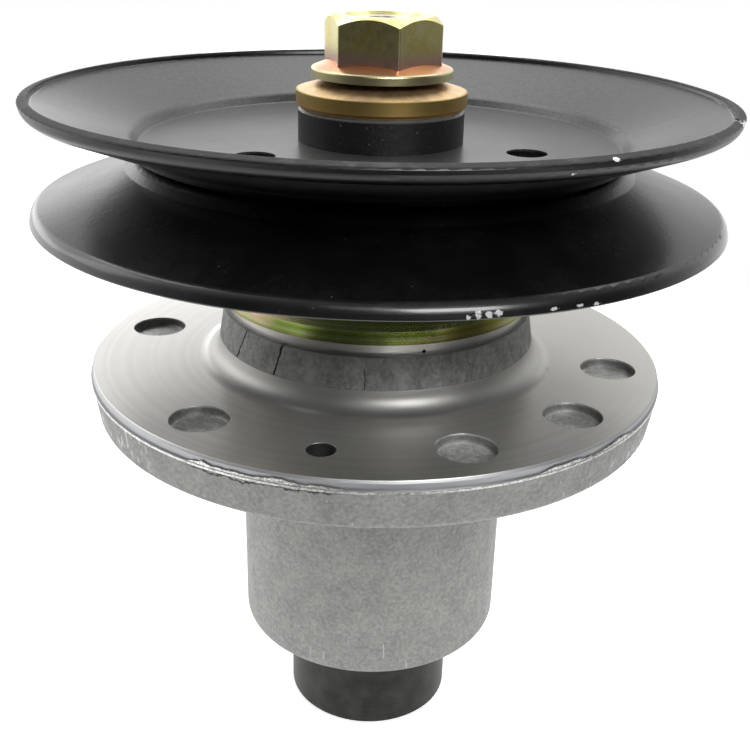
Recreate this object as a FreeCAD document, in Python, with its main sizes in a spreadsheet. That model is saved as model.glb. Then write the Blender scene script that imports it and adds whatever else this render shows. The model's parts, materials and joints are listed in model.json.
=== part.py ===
"""Mower deck spindle: a cast flanged housing that carries a turned shaft on two tapered roller
bearings, with a pressed-steel belt pulley clamped on top by a flange nut and a coned washer."""
import FreeCAD, Part
import math
import os
from types import SimpleNamespace

import Sketcher

# Driving dimensions, in millimetres and degrees. Heights start at the blade seat, the shaft's lower end.
SIZES = {
    # Housing: barrel, flange, boss and neck
    "head_reach": 26.0,  # from the blade seat up to the barrel's lower end
    "barrel_length": 63.7,  # from there up to the underside of the flange
    "barrel_wall": 8.4,  # metal outside the lower bearing bore
    "barrel_edge_radius": 2.5,
    "barrel_root_radius": 3.0,  # inside corner under the flange
    "core_inset": 3.2,  # how far the bore between the bearings stands in from the bearing bores
    "flange_thickness": 11.4,
    "flange_rim_width": 11.75,  # from the bolt circle out to the turned edge
    "turned_band_height": 2.0,  # machined part of the flange's edge
    "turned_band_step": 0.4,  # cast rim proud of the machined band
    "flange_draft": 1.3,  # how much the cast rim draws in towards the underside
    "flange_edge_radius": 1.2,
    "flange_edge_chamfer": 0.5,
    "boss_fillet": 5.2,  # turned hollow from the flange to the boss
    "boss_height": 7.2,  # cast band of the boss
    "boss_draft": 1.2,
    "neck_ledge": 1.15,  # step from the cast band in to the turned neck
    "neck_height": 5.5,
    "neck_wall": 10.88,
    "neck_chamfer": 0.8,
    # Flange holes
    "bolt_circle": 114.3,
    "mounting_count": 6,
    "mounting_angle": -10.6,
    "mounting_hole": 8.7,  # for thread-forming screws from below
    "mounting_hole_depth": 7.6,
    "recess_diameter": 13.2,  # shallow cast recesses in the upper face
    "recess_depth": 2.2,
    "recess_floor_radius": 0.9,
    "spare_recess_angle": -40.6,
    "drain_hole": 6.3,
    "drain_hole_angle": -100.6,
    # Tapered roller bearings
    "bearing_bore": 25.4,
    "bearing_width": 14.2,
    "cup_width": 10.7,
    "cone_wall": 3.52,  # inner race under the rollers' middle
    "cup_wall": 3.43,  # outer race over the rollers' middle
    "roller_diameter": 5.5,  # at the middle of its length
    "roller_length": 9.0,
    "roller_tilt": 13.0,
    "roller_count": 14,
    "roller_play": 0.1,  # free space round each roller
    "rib_height": 2.0,  # shoulder at the rollers' wide end
    "small_rib_height": 0.7,
    "cage_sheet": 1.0,
    "cage_overhang": 1.4,  # past the rollers' ends
    "cage_offset": 0.4,  # outside the rollers' axes
    "bore_fit": 0.02,  # radial fit of pieces pressed or slid together
    # Grease seals and the collar
    "seal_height": 5.0,
    "seal_sheet": 1.2,
    "seal_inset": 0.6,
    "seal_gap": 1.0,  # between a seal and the bearing beside it
    "seal_play": 0.1,
    "collar_wall": 4.3,
    # Shaft
    "head_diameter": 42.8,
    "head_chamfer": 0.8,
    "cone_seat_height": 1.0,  # raised seat of the lower inner race
    "cone_seat_wall": 2.7,
    "blade_bolt_hole": 14.4,
    "blade_bolt_depth": 36.0,
    "blade_bolt_chamfer": 1.0,
    "drill_point": 4.0,  # height of the cone that a drill leaves
    "thread_diameter": 15.9,
    "thread_chamfer": 1.2,
    "centre_hole": 6.4,
    "centre_hole_depth": 5.0,
    "shaft_below_hub_top": 1.8,
    "shaft_below_nut_top": 0.6,
    # Dust shield
    "shield_sheet": 1.0,
    "shield_play": 0.45,  # between the skirt and the neck
    "shield_gap": 2.95,  # of the neck that shows below the skirt
    "shield_height": 10.1,
    "shield_corner": 6.0,
    # Pulley
    "pulley_rise": 24.1,  # from the shield up to the middle of the belt groove
    "sheave_diameter": 158.8,
    "sheave_sheet": 2.3,
    "groove_depth": 23.55,  # from the rim in to the bottom of the groove
    "groove_slope": 21.0,
    "rim_height": 13.0,  # from the middle of the groove to the edge of a rim
    "lip_slope": 75.0,
    "root_step": 2.58,  # steep part of the wall, from the web out to where the slope begins
    "root_step_slope": 48.0,
    "root_bend": 0.8,
    "root_step_bend": 0.6,
    "lip_bend": 0.4,
    "lip_edge_radius": 0.4,
    "nick_angle": -22.3,  # where a bit is knocked out of the upper rim
    "nick_length": 3.4,
    "nick_reach": 1.9,
    "nick_depth": 1.3,
    "web_hole": 9.1,
    "web_hole_circle": 69.2,
    "web_hole_count": 3,
    "web_hole_angle": -20.7,
    "hub_diameter": 38.1,
    "hub_proud": 7.35,  # above the upper web
    "hub_foot_wall": 5.0,  # shoulder under the lower web, outside the hub
    "hub_chamfer": 0.5,
    "key_width": 6.35,
    "key_depth": 3.2,  # of the seat in the shaft
    "key_length": 22.0,
    "key_inset": 4.0,  # from the hub's lower end
    # Coned washer and flange nut
    "washer_diameter": 39.0,
    "washer_bore": 16.6,
    "washer_thickness": 2.9,
    "washer_height": 6.85,
    "washer_edge_bevel": 1.0,
    "nut_across_flats": 23.8,
    "nut_height": 13.25,
    "nut_flange_diameter": 32.1,
    "nut_flange_edge": 1.9,
    "nut_flange_slope": 21.0,
    "nut_flange_rounding": 0.5,
    "nut_corner_rounding": 0.6,
    "nut_crown": 1.9,  # height of the bevel over the corners
    "nut_crown_inset": 0.4,  # how far the bevel reaches in over the flats
    "nut_mouth": 17.4,  # countersink round the thread
    "nut_angle": -15.0,
}

UPPER = 1
LOWER = -1

doc = FreeCAD.newDocument("mower_deck_spindle")
sheet = doc.addObject("Spreadsheet::Sheet", "Sizes")
for row, (alias, value) in enumerate(SIZES.items(), start=1):
    sheet.set(f"A{row}", alias)
    sheet.set(f"B{row}", str(value))
    sheet.setAlias(f"B{row}", alias)
doc.recompute()


class Size:
    """A number together with the spreadsheet formula that gives it."""

    def __init__(self, value, formula):
        self.value = value
        self.formula = formula

    @staticmethod
    def of(other):
        return other if isinstance(other, Size) else Size(other, str(other))

    def joined(self, sign, other, value):
        return Size(value, f"({self.formula} {sign} {other.formula})")

    def __add__(self, other):
        other = Size.of(other)
        return self.joined("+", other, self.value + other.value)

    def __sub__(self, other):
        other = Size.of(other)
        return self.joined("-", other, self.value - other.value)

    def __mul__(self, other):
        other = Size.of(other)
        return self.joined("*", other, self.value * other.value)

    def __truediv__(self, other):
        other = Size.of(other)
        return self.joined("/", other, self.value / other.value)

    def __rsub__(self, other):
        return Size.of(other) - self

    def __neg__(self):
        return Size.of(0) - self


def sine(angle):
    return Size(math.sin(math.radians(angle.value)), f"sin({angle.formula})")


def cosine(angle):
    return Size(math.cos(math.radians(angle.value)), f"cos({angle.formula})")


def tangent(angle):
    return Size(math.tan(math.radians(angle.value)), f"tan({angle.formula})")


s = SimpleNamespace(**{alias: Size(value, f"Sizes.{alias}") for alias, value in SIZES.items()})


class Arc:
    """A round stretch of an outline: its radius, and +1 where the outline turns left or -1 right."""

    def __init__(self, radius, turn):
        self.radius = radius
        self.turn = turn


def origin(body, role):
    """One plane or axis of a body's own origin."""
    return next(feature for feature in body.Origin.OriginFeatures if feature.Role == role)


def sketch_on(body, name, role, height=None):
    """An empty sketch on one of the body's planes, lifted to a height where one is given."""
    sketch = body.newObject("Sketcher::SketchObject", name)
    sketch.AttachmentSupport = [(origin(body, role), "")]
    sketch.MapMode = "FlatFace"
    if height is not None:
        sketch.setExpression("AttachmentOffset.Base.z", height.formula)
    return sketch


def bind(sketch, constraint, size):
    """Adds a dimension to a sketch and ties it to its formula."""
    index = sketch.addConstraint(constraint)
    sketch.setExpression(f"Constraints[{index}]", size.formula)


def place_point(sketch, geometry, point, x, y):
    """Ties one point of a sketch to its coordinates; a zero puts it on the axis."""
    for kind, axis, size in (("DistanceX", -2, Size.of(x)), ("DistanceY", -1, Size.of(y))):
        if size.value == 0:
            sketch.addConstraint(Sketcher.Constraint("PointOnObject", geometry, point, axis))
        else:
            bind(sketch, Sketcher.Constraint(kind, -1, 1, geometry, point, size.value), size)


def at(x, y):
    return FreeCAD.Vector(Size.of(x).value, Size.of(y).value, 0)


def arc_between(start, end, arc):
    """The short arc from one point to another, drawn the way sketches keep it, anticlockwise."""
    chord = end - start
    half = chord.Length / 2
    radius = max(arc.radius.value, half)
    rise = math.sqrt(radius**2 - half**2) * arc.turn
    centre = start + chord / 2 + FreeCAD.Vector(-chord.y, chord.x, 0) / chord.Length * rise
    first, last = (start, end) if arc.turn > 0 else (end, start)
    angles = [math.atan2(point.y - centre.y, point.x - centre.x) for point in (first, last)]
    circle = Part.Circle(centre, FreeCAD.Vector(0, 0, 1), radius)
    return Part.ArcOfCircle(circle, *angles)


def draw_outline(sketch, path):
    """Draws a closed outline through points, round wherever an Arc stands between two of them."""
    corners = [index for index, item in enumerate(path) if not isinstance(item, Arc)]
    ends = []
    for number, index in enumerate(corners):
        following = corners[(number + 1) % len(corners)]
        start, end = at(*path[index]), at(*path[following])
        arc = path[index + 1] if index + 1 < len(path) and isinstance(path[index + 1], Arc) else None
        if arc:
            geometry = sketch.addGeometry(arc_between(start, end, arc))
            bind(sketch, Sketcher.Constraint("Radius", geometry, arc.radius.value), arc.radius)
            ends.append((geometry, 1, 2) if arc.turn > 0 else (geometry, 2, 1))
        else:
            ends.append((sketch.addGeometry(Part.LineSegment(start, end)), 1, 2))
    for number, (geometry, first, last) in enumerate(ends):
        beyond, beyond_first, _ = ends[(number + 1) % len(ends)]
        sketch.addConstraint(Sketcher.Constraint("Coincident", geometry, last, beyond, beyond_first))
        place_point(sketch, geometry, first, *path[corners[number]])


def make_body(name):
    return doc.addObject("PartDesign::Body", name)


def add_feature(body, kind, name, sketch):
    feature = body.newObject(f"PartDesign::{kind}", name)
    feature.Profile = sketch
    return feature


def spin(body, kind, name, path, axis="V_Axis"):
    """Adds or cuts what an outline sweeps out in a full turn, about the spindle unless told otherwise."""
    sketch = sketch_on(body, f"{name}_section", "XZ_Plane")
    draw_outline(sketch, path)
    feature = add_feature(body, kind, name, sketch)
    feature.ReferenceAxis = (sketch, [axis])
    feature.Angle = 360
    return feature


def turned(name, path):
    """A piece turned about the spindle's axis, from its section given as radius and height."""
    body = make_body(name)
    spin(body, "Revolution", f"{name}_turn", path)
    return body


def drill(body, name, diameter, circle, angle, height, depth, upward=False):
    """A flat-bottomed round hole on a bolt circle, cut down or up from a height."""
    sketch = sketch_on(body, f"{name}_layout", "XY_Plane", height)
    x, y = circle / 2 * cosine(angle), circle / 2 * sine(angle)
    radius = diameter / 2
    geometry = sketch.addGeometry(Part.Circle(at(x, y), FreeCAD.Vector(0, 0, 1), radius.value))
    bind(sketch, Sketcher.Constraint("Radius", geometry, radius.value), radius)
    place_point(sketch, geometry, 3, x, y)
    pocket = add_feature(body, "Pocket", name, sketch)
    pocket.setExpression("Length", depth.formula)
    pocket.Reversed = upward
    return pocket


def around(body, name, feature, count):
    """Repeats a feature evenly about the spindle's axis."""
    pattern = body.newObject("PartDesign::PolarPattern", name)
    pattern.Originals = [feature]
    pattern.Axis = (origin(body, "Z_Axis"), [""])
    pattern.Angle = 360
    pattern.setExpression("Occurrences", count.formula)
    body.Tip = pattern


def rounded(body, name, radius, chosen):
    """Rounds those edges of a body, as far as it is made, that a test picks."""
    doc.recompute()
    base = body.Tip
    edges = [f"Edge{number}" for number, edge in enumerate(base.Shape.Edges, start=1) if chosen(edge)]
    fillet = body.newObject("PartDesign::Fillet", name)
    fillet.Base = (base, edges)
    fillet.setExpression("Radius", radius.formula)


def seat(body, height, side=UPPER):
    """Lifts a piece drawn about its own zero to its height; a lower piece is turned upside down."""
    if side == LOWER:
        body.Placement.Rotation = FreeCAD.Rotation(FreeCAD.Vector(1, 0, 0), 180)
    body.setExpression("Placement.Base.z", height.formula)


def moved(point, angle, distance):
    """A point a distance away along a slope."""
    return (point[0] + distance * cosine(angle), point[1] + distance * sine(angle))


# Radii and heights that several pieces share
shaft_radius = s.bearing_bore / 2
pitch_radius = shaft_radius + s.cone_wall + s.roller_diameter / 2
cup_radius = pitch_radius + s.roller_diameter / 2 + s.cup_wall
seat_radius = cup_radius + s.bore_fit
bore_radius = shaft_radius + s.bore_fit
head_radius = s.head_diameter / 2
collar_radius = bore_radius + s.collar_wall
hub_radius = s.hub_diameter / 2
barrel_radius = seat_radius + s.barrel_wall
neck_radius = seat_radius + s.neck_wall

barrel_bottom = s.head_reach
flange_bottom = barrel_bottom + s.barrel_length
flange_top = flange_bottom + s.flange_thickness
boss_bottom = flange_top + s.boss_fillet
boss_top = boss_bottom + s.boss_height
neck_top = boss_top + s.neck_height

lower_seal_bottom = barrel_bottom + s.seal_inset
lower_bearing_bottom = lower_seal_bottom + s.seal_height + s.seal_gap
lower_bearing_top = lower_bearing_bottom + s.bearing_width
upper_seal_top = neck_top - s.seal_inset
upper_bearing_top = upper_seal_top - s.seal_height - s.seal_gap
upper_bearing_bottom = upper_bearing_top - s.bearing_width

shield_bottom = boss_top + s.shield_gap
shield_top = shield_bottom + s.shield_height
pulley_middle = shield_top + s.pulley_rise
hub_top = pulley_middle + s.sheave_sheet + s.hub_proud
nut_bottom = hub_top + s.washer_height
nut_top = nut_bottom + s.nut_height
shaft_top = nut_top - s.shaft_below_nut_top


# Housing: one casting, turned on its upper face, its neck and its bearing bores
rim_radius = s.bolt_circle / 2 + s.flange_rim_width
cast_radius = rim_radius + s.turned_band_step
foot_radius = cast_radius - s.flange_draft
boss_top_radius = neck_radius + s.neck_ledge
boss_radius = boss_top_radius + s.boss_draft
core_radius = seat_radius - s.core_inset
band_bottom = flange_top - s.turned_band_height
housing = turned(
    "spindle_housing",
    [
        (seat_radius, barrel_bottom),
        (barrel_radius - s.barrel_edge_radius, barrel_bottom),
        Arc(s.barrel_edge_radius, +1),
        (barrel_radius, barrel_bottom + s.barrel_edge_radius),
        (barrel_radius, flange_bottom - s.barrel_root_radius),
        Arc(s.barrel_root_radius, -1),
        (barrel_radius + s.barrel_root_radius, flange_bottom),
        (foot_radius - s.flange_edge_radius, flange_bottom),
        Arc(s.flange_edge_radius, +1),
        (foot_radius, flange_bottom + s.flange_edge_radius),
        (cast_radius, band_bottom),
        (rim_radius, band_bottom),
        (rim_radius, flange_top - s.flange_edge_chamfer),
        (rim_radius - s.flange_edge_chamfer, flange_top),
        (boss_radius + s.boss_fillet, flange_top),
        Arc(s.boss_fillet, -1),
        (boss_radius, boss_bottom),
        (boss_top_radius, boss_top),
        (neck_radius, boss_top),
        (neck_radius, neck_top - s.neck_chamfer),
        (neck_radius - s.neck_chamfer, neck_top),
        (seat_radius, neck_top),
        (seat_radius, upper_bearing_bottom),
        (core_radius, upper_bearing_bottom),
        (core_radius, lower_bearing_top),
        (seat_radius, lower_bearing_top),
    ],
)
recess = drill(
    housing, "recess", s.recess_diameter, s.bolt_circle, s.mounting_angle, flange_top, s.recess_depth
)
around(housing, "recesses", recess, s.mounting_count)
drill(
    housing, "spare_recess", s.recess_diameter, s.bolt_circle, s.spare_recess_angle, flange_top, s.recess_depth
)
recess_floor = flange_top - s.recess_depth


def at_recess_floor(edge):
    level = (edge.BoundBox.ZMin + edge.BoundBox.ZMax) / 2
    ring = math.isclose(getattr(edge.Curve, "Radius", 0), s.recess_diameter.value / 2)
    return ring and math.isclose(level, recess_floor.value)


rounded(housing, "recess_floors", s.recess_floor_radius, at_recess_floor)
drill(
    housing, "drain", s.drain_hole, s.bolt_circle, s.drain_hole_angle, flange_top, s.flange_thickness
)
screw_hole = drill(
    housing,
    "screw_hole",
    s.mounting_hole,
    s.bolt_circle,
    s.mounting_angle,
    flange_bottom,
    s.mounting_hole_depth,
    upward=True,
)
around(housing, "screw_holes", screw_hole, s.mounting_count)


# Tapered roller bearings: each is drawn about its inner face, with the rollers wider away from it
half_roller = s.roller_length / 2
roller_radius = s.roller_diameter / 2
roller_taper = roller_radius * sine(s.roller_tilt) / pitch_radius  # all cone tips meet on the spindle's axis
roller_slope = 90 - s.roller_tilt
roller_middle = (pitch_radius, s.bearing_width / 2)


def beside_roller(along, inward, play):
    """A point on the surface round a roller, at a distance along it from its middle."""
    reach = roller_radius + along * roller_taper + play
    on_axis = moved(roller_middle, roller_slope, along)
    side = 180 - s.roller_tilt if inward else -s.roller_tilt
    return moved(on_axis, side, reach)


def roller_section(play):
    """Half of a roller's section, its axis first."""
    length = half_roller + play
    return [
        moved(roller_middle, roller_slope, -length),
        moved(roller_middle, roller_slope, length),
        beside_roller(length, False, play),
        beside_roller(-length, False, play),
    ]


def bearing(name, height, side):
    """One bearing: the cup for the housing, the cone for the shaft, and the rollers in their cage."""
    race_start = beside_roller(-half_roller, False, s.roller_play)
    race_end = beside_roller(half_roller, False, s.roller_play)
    race_slope = (race_end[0] - race_start[0]) / (race_end[1] - race_start[1])
    cup_mouth = race_start[0] - race_start[1] * race_slope
    cup = turned(
        f"{name}_bearing_cup",
        [
            (cup_mouth, 0),
            (cup_radius, 0),
            (cup_radius, s.cup_width),
            (cup_mouth + s.cup_width * race_slope, s.cup_width),
        ],
    )
    small_end = beside_roller(-half_roller - s.roller_play, True, s.roller_play)
    wide_end = beside_roller(half_roller + s.roller_play, True, s.roller_play)
    small_rib = moved(small_end, -s.roller_tilt, s.small_rib_height)
    wide_rib = moved(wide_end, -s.roller_tilt, s.rib_height)
    cone = turned(
        f"{name}_bearing_cone",
        [
            (bore_radius, 0),
            (small_rib[0], 0),
            small_rib,
            small_end,
            wide_end,
            wide_rib,
            (wide_rib[0], s.bearing_width),
            (bore_radius, s.bearing_width),
        ],
    )
    rollers = make_body(f"{name}_bearing_rollers")
    roller = spin(rollers, "Revolution", f"{name}_roller", roller_section(0), axis="Edge1")
    around(rollers, f"{name}_roller_ring", roller, s.roller_count)
    cage_middle = moved(roller_middle, -s.roller_tilt, s.cage_offset)
    cage_reach = half_roller + s.cage_overhang
    cage_edges = []
    for across, along in ((-0.5, -1), (0.5, -1), (0.5, 1), (-0.5, 1)):
        end = moved(cage_middle, roller_slope, cage_reach * along)
        cage_edges.append(moved(end, -s.roller_tilt, s.cage_sheet * across))
    cage = turned(f"{name}_bearing_cage", cage_edges)
    window = spin(cage, "Groove", f"{name}_window", roller_section(s.roller_play), axis="Edge1")
    around(cage, f"{name}_windows", window, s.roller_count)
    for piece in (cup, cone, rollers, cage):
        seat(piece, height, side)


bearing("upper", upper_bearing_bottom, UPPER)
bearing("lower", lower_bearing_top, LOWER)

# Tube that keeps the two inner races apart
turned(
    "bearing_spacer",
    [
        (bore_radius, lower_bearing_top),
        (bore_radius + s.cone_seat_wall, lower_bearing_top),
        (bore_radius + s.cone_seat_wall, upper_bearing_bottom),
        (bore_radius, upper_bearing_bottom),
    ],
)


# Grease seals: a folded case with a lip that runs on the shaft's head or on the collar
def grease_seal(name, lip_radius, height, side):
    """A seal drawn from its covered face, at the top, down to its open side."""
    sheet_in = cup_radius - s.seal_sheet
    lip_out = lip_radius + s.seal_sheet
    seal = turned(
        name,
        [
            (lip_radius, -s.seal_height),
            (lip_out, -s.seal_height),
            (lip_out, -s.seal_sheet),
            (sheet_in, -s.seal_sheet),
            (sheet_in, -s.seal_height),
            (cup_radius, -s.seal_height),
            (cup_radius, 0),
            (lip_radius, 0),
        ],
    )
    seat(seal, height, side)


grease_seal("upper_grease_seal", collar_radius + s.seal_play, upper_seal_top, UPPER)
grease_seal("lower_grease_seal", head_radius + s.seal_play, lower_seal_bottom, LOWER)

# Collar between the upper inner race and the shield
turned(
    "seal_collar",
    [
        (bore_radius, upper_bearing_top),
        (collar_radius, upper_bearing_top),
        (collar_radius, shield_top - s.shield_sheet),
        (bore_radius, shield_top - s.shield_sheet),
    ],
)

# Shaft: the wide head with the blade seat, the bearing journals and the threaded upper end
head_top = lower_bearing_bottom - s.cone_seat_height
cone_seat_radius = shaft_radius + s.cone_seat_wall
blade_bolt_radius = s.blade_bolt_hole / 2
thread_radius = s.thread_diameter / 2
centre_radius = s.centre_hole / 2
shoulder = hub_top - s.shaft_below_hub_top
shaft = turned(
    "spindle_shaft",
    [
        (blade_bolt_radius + s.blade_bolt_chamfer, 0),
        (head_radius - s.head_chamfer, 0),
        (head_radius, s.head_chamfer),
        (head_radius, head_top),
        (cone_seat_radius, head_top),
        (cone_seat_radius, lower_bearing_bottom),
        (shaft_radius, lower_bearing_bottom),
        (shaft_radius, shoulder),
        (thread_radius, shoulder),
        (thread_radius, shaft_top - s.thread_chamfer),
        (thread_radius - s.thread_chamfer, shaft_top),
        (centre_radius, shaft_top),
        (0, shaft_top - s.centre_hole_depth),
        (0, s.blade_bolt_depth + s.drill_point),
        (blade_bolt_radius, s.blade_bolt_depth),
        (blade_bolt_radius, s.blade_bolt_chamfer),
    ],
)


# Key between shaft and hub, each with a slot for it
key_bottom = shield_top + s.key_inset
key_floor = shaft_radius - s.key_depth
key_roof = key_floor + s.key_width


def key_slot(body, name, inner, outer, bottom, top):
    """A slot of the key's width, on the side that faces +X."""
    sketch = sketch_on(body, f"{name}_layout", "XZ_Plane")
    draw_outline(sketch, [(inner, bottom), (outer, bottom), (outer, top), (inner, top)])
    slot = add_feature(body, "Pocket", name, sketch)
    slot.SideType = "Symmetric"
    slot.setExpression("Length", (s.key_width + s.bore_fit * 2).formula)


key_slot(
    shaft,
    "shaft_key_seat",
    key_floor - s.bore_fit,
    shaft_radius + s.key_depth,
    key_bottom - s.bore_fit,
    key_bottom + s.key_length + s.bore_fit,
)
key = doc.addObject("Part::Box", "pulley_key")
key.setExpression("Length", s.key_width.formula)
key.setExpression("Width", s.key_width.formula)
key.setExpression("Height", s.key_length.formula)
key.setExpression("Placement.Base.x", key_floor.formula)
key.setExpression("Placement.Base.y", (-s.key_width / 2).formula)
key.setExpression("Placement.Base.z", key_bottom.formula)

# Dust shield: a pressed cup, clamped under the hub, its skirt round the housing's neck
skirt_inside = neck_radius + s.shield_play
skirt_outside = skirt_inside + s.shield_sheet
outer_corner = s.shield_corner + s.shield_sheet
turned(
    "dust_shield",
    [
        (skirt_inside, shield_bottom),
        (skirt_outside, shield_bottom),
        (skirt_outside, shield_top - outer_corner),
        Arc(outer_corner, +1),
        (skirt_outside - outer_corner, shield_top),
        (bore_radius, shield_top),
        (bore_radius, shield_top - s.shield_sheet),
        (skirt_inside - s.shield_corner, shield_top - s.shield_sheet),
        Arc(s.shield_corner, -1),
        (skirt_inside, shield_top - outer_corner),
    ],
)

# Pulley hub: it passes through both webs, which sit on its foot
web_bottom = pulley_middle - s.sheave_sheet
foot_outside = hub_radius + s.hub_foot_wall
hub = turned(
    "pulley_hub",
    [
        (bore_radius, shield_top),
        (foot_outside - s.hub_chamfer, shield_top),
        (foot_outside, shield_top + s.hub_chamfer),
        (foot_outside, web_bottom),
        (hub_radius, web_bottom),
        (hub_radius, hub_top - s.hub_chamfer),
        (hub_radius - s.hub_chamfer, hub_top),
        (bore_radius, hub_top),
    ],
)
key_slot(
    hub, "hub_key_way", bore_radius - s.key_depth, key_roof + s.bore_fit, shield_top - s.key_depth, hub_top + s.key_depth
)


# Pulley: two equal pressings, back to back, that leave a V groove for the belt between them
def bend(corner, before, after, radius):
    """A bend in sheet metal: the outline of its groove side, then of its other side on the way back."""
    turn = +1 if after.value > before.value else -1
    wide_radius = radius + s.sheave_sheet
    near, far = (wide_radius, radius) if turn > 0 else (radius, wide_radius)
    run = near * tangent((after - before) / 2) * turn
    start = moved(corner, before, -run)
    end = moved(corner, after, run)
    far_start = moved(start, before + 90, s.sheave_sheet)
    far_end = moved(end, after + 90, s.sheave_sheet)
    return [start, Arc(near, turn), end], [far_end, Arc(far, -turn), far_start]


def sheave(name, side):
    """One pressing, drawn from the middle of the groove: flat web, steep step, sloping wall and lip."""
    edge = (s.sheave_diameter / 2, s.rim_height)
    root = (edge[0] - s.groove_depth, Size.of(0))
    step = (root[0] + s.root_step / tangent(s.root_step_slope), s.root_step)
    lean = tangent(s.groove_slope) / tangent(s.lip_slope)
    lip_rise = (edge[1] - step[1]) / tangent(s.lip_slope)
    lip_radius = (edge[0] - lip_rise - step[0] * lean) / (1 - lean)
    lip = (lip_radius, step[1] + (lip_radius - step[0]) * tangent(s.groove_slope))
    root_out, root_back = bend(root, Size.of(0), s.root_step_slope, s.root_bend)
    step_out, step_back = bend(step, s.root_step_slope, s.groove_slope, s.root_step_bend)
    lip_out, lip_back = bend(lip, s.groove_slope, s.lip_slope, s.lip_bend)
    wall_out = [*root_out, *step_out, *lip_out]
    wall_back = [*lip_back, *step_back, *root_back]
    across = s.lip_slope + 90
    inner_edge = moved(edge, across, s.sheave_sheet)
    rounding = s.lip_edge_radius
    lip_end = [
        moved(edge, s.lip_slope, -rounding),
        Arc(rounding, +1),
        moved(edge, across, rounding),
        moved(inner_edge, across, -rounding),
        Arc(rounding, +1),
        moved(inner_edge, s.lip_slope, -rounding),
    ]
    hub_hole = hub_radius + s.bore_fit
    body = turned(
        name,
        [(hub_hole, 0), *wall_out, *lip_end, *wall_back, (hub_hole, s.sheave_sheet)],
    )
    hole = drill(
        body, f"{name}_hole", s.web_hole, s.web_hole_circle, s.web_hole_angle * side, s.sheave_sheet, s.sheave_sheet
    )
    around(body, f"{name}_holes", hole, s.web_hole_count)
    seat(body, pulley_middle, side)
    return body, inner_edge


upper_sheave, upper_rim = sheave("upper_sheave", UPPER)
sheave("lower_sheave", LOWER)

# A nick in the upper rim: three-cornered, open towards the middle
nick = sketch_on(upper_sheave, "rim_nick_layout", "XY_Plane", upper_rim[1])
nick_foot = moved((Size.of(0), Size.of(0)), s.nick_angle, upper_rim[0] - s.nick_reach)
draw_outline(
    nick,
    [
        moved(nick_foot, s.nick_angle + 90, -s.nick_length),
        moved(nick_foot, s.nick_angle, s.nick_reach * 2),
        moved(nick_foot, s.nick_angle + 90, s.nick_length),
    ],
)
add_feature(upper_sheave, "Pocket", "rim_nick", nick).setExpression("Length", s.nick_depth.formula)

# Coned washer: its wide edge rests on the hub and its narrow edge carries the nut
washer_radius = s.washer_diameter / 2
washer_inside = s.washer_bore / 2
turned(
    "spring_washer",
    [
        (washer_inside, nut_bottom - s.washer_thickness),
        (washer_radius - s.washer_edge_bevel * 2, hub_top),
        (washer_radius - s.washer_edge_bevel, hub_top),
        (washer_radius, hub_top + s.washer_edge_bevel),
        (washer_radius, hub_top + s.washer_edge_bevel + s.washer_thickness),
        (washer_inside + s.washer_edge_bevel, nut_bottom),
        (washer_inside, nut_bottom),
    ],
)

# Flange nut: a turned flange and a hexagon with bevelled corners, threaded on the shaft
nut = make_body("flange_nut")
nut_flange_radius = s.nut_flange_diameter / 2
half_flats = s.nut_across_flats / 2
corner_radius = half_flats / cosine(Size.of(30))
nut_bore = thread_radius + s.bore_fit
hexagon = sketch_on(nut, "hexagon", "XY_Plane", nut_bottom)
corner_run = s.nut_corner_rounding * tangent(Size.of(30))
hexagon_path = []
for number in range(6):
    direction = Size.of(60 * number)
    corner = moved((Size.of(0), Size.of(0)), direction, corner_radius)
    hexagon_path.append(moved(corner, direction - 120, corner_run))
    hexagon_path.append(Arc(s.nut_corner_rounding, +1))
    hexagon_path.append(moved(corner, direction + 120, corner_run))
draw_outline(hexagon, hexagon_path)
prism = add_feature(nut, "Pad", "hex_prism", hexagon)
prism.setExpression("Length", s.nut_height.formula)
flange_edge = nut_bottom + s.nut_flange_edge
flange_rise = (nut_flange_radius - half_flats) * tangent(s.nut_flange_slope)
flange_run = s.nut_flange_rounding * tangent((90 - s.nut_flange_slope) / 2)
spin(
    nut,
    "Revolution",
    "nut_flange",
    [
        (0, nut_bottom),
        (nut_flange_radius, nut_bottom),
        (nut_flange_radius, flange_edge - flange_run),
        Arc(s.nut_flange_rounding, +1),
        moved((nut_flange_radius, flange_edge), 180 - s.nut_flange_slope, flange_run),
        (half_flats, flange_edge + flange_rise),
        (0, flange_edge + flange_rise),
    ],
)
spin(
    nut,
    "Groove",
    "nut_crown",
    [
        (half_flats - s.nut_crown_inset, nut_top),
        (corner_radius + s.nut_crown, nut_top),
        (corner_radius + s.nut_crown, nut_top - s.nut_crown),
        (corner_radius, nut_top - s.nut_crown),
    ],
)
mouth_radius = s.nut_mouth / 2
spin(
    nut,
    "Groove",
    "nut_thread_bore",
    [
        (0, nut_bottom),
        (nut_bore, nut_bottom),
        (nut_bore, nut_top - (mouth_radius - nut_bore)),
        (mouth_radius, nut_top),
        (0, nut_top),
    ],
)
nut.Placement.Rotation = FreeCAD.Rotation(FreeCAD.Vector(0, 0, 1), 0)
nut.setExpression("Placement.Rotation.Angle", s.nut_angle.formula)

doc.recompute()

# Every feature must have worked, every cut must have removed metal, and every piece must be sound
for item in doc.Objects:
    if "Invalid" in item.State or "Error" in item.State:
        raise RuntimeError(f"{item.Label} failed: {item.State}")
    if item.TypeId in ("PartDesign::Pocket", "PartDesign::Groove"):
        if item.Shape.Volume >= item.BaseFeature.Shape.Volume:
            raise RuntimeError(f"{item.Label} cut nothing")
pieces = [item for item in doc.Objects if item.TypeId in ("PartDesign::Body", "Part::Box")]
for piece in pieces:
    if piece.Shape.isNull() or not piece.Shape.isValid():
        raise RuntimeError(f"{piece.Label} has no sound shape")

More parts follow.
